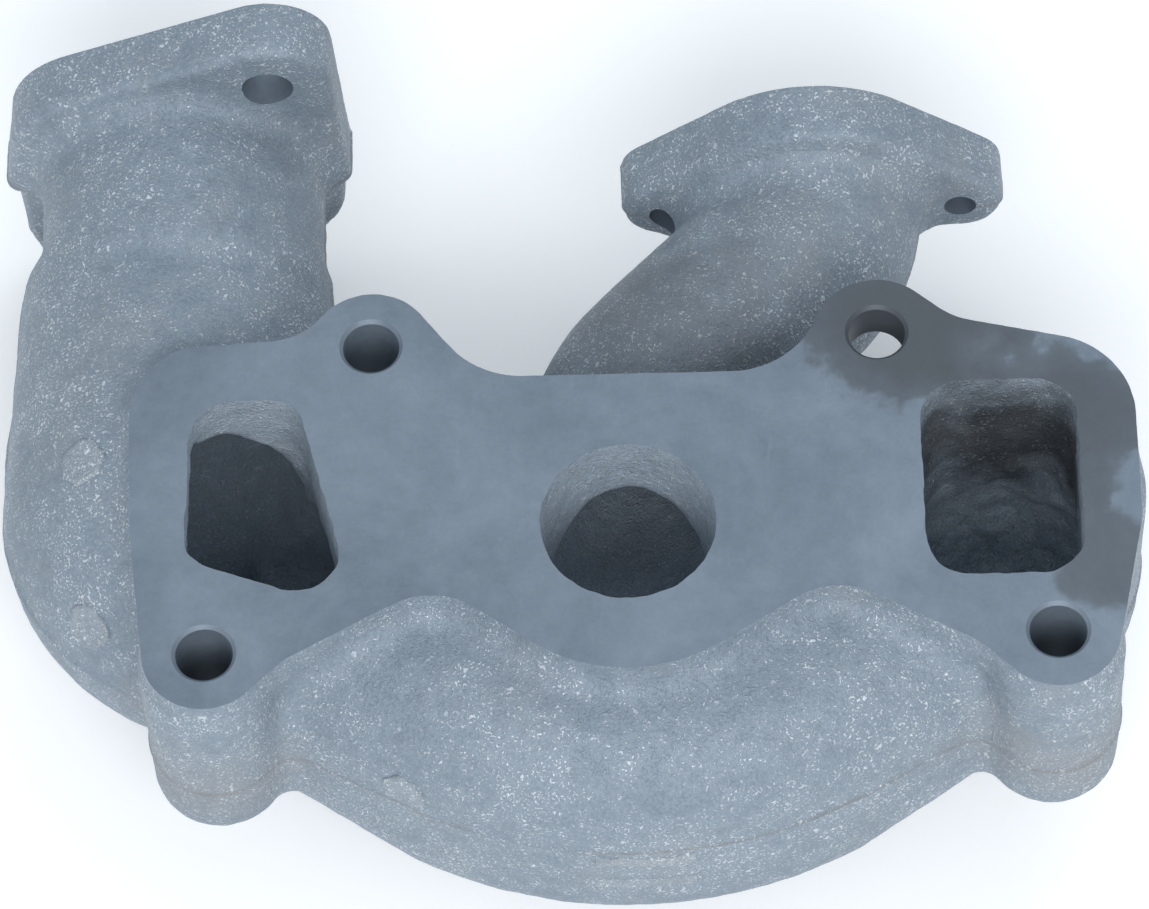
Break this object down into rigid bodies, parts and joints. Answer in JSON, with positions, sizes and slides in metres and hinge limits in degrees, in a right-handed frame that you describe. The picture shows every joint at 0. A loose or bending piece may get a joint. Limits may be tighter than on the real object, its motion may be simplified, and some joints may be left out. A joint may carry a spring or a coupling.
{
  "type": "exhaust manifold",
  "caption": "Bare cast-iron manifold with end exhaust ports, a centre intake port with an S-shaped runner to a carburettor flange, and a round exhaust outlet flange.",
  "frame": {"origin": "middle of the centre intake port, on the machined block face", "axes": "+Z out of the block face, +X along the row of ports towards the plain end, +Y towards the exhaust outlet and the carburettor flange"},
  "size_m": [0.2271, 0.169, 0.0912],
  "materials": {
    "cast_skin": "shot-blasted as-cast skin",
    "machined_face": "face-milled, dull",
    "ground_stub": "ground off"
  },
  "bodies": {
    "root": {"mounting_flange": "machined_face", "lower_left_boss": "cast_skin", "lower_right_boss": "cast_skin", "upper_left_boss": "cast_skin", "left_port_branch": "cast_skin", "right_port_branch": "cast_skin", "log_left_arm": "cast_skin", "log_centre": "cast_skin", "log_right_arm": "cast_skin", "exhaust_elbow": "cast_skin", "exhaust_barrel": "cast_skin", "outlet_neck": "cast_skin", "outlet_flange": "cast_skin", "intake_port_elbow": "cast_skin", "intake_lower_bend": "cast_skin", "intake_runner": "cast_skin", "intake_upper_bend": "cast_skin", "carburettor_flange": "cast_skin", "chaplets": "ground_stub", "ingate_stubs": "ground_stub"}
  },
  "joints": []
}
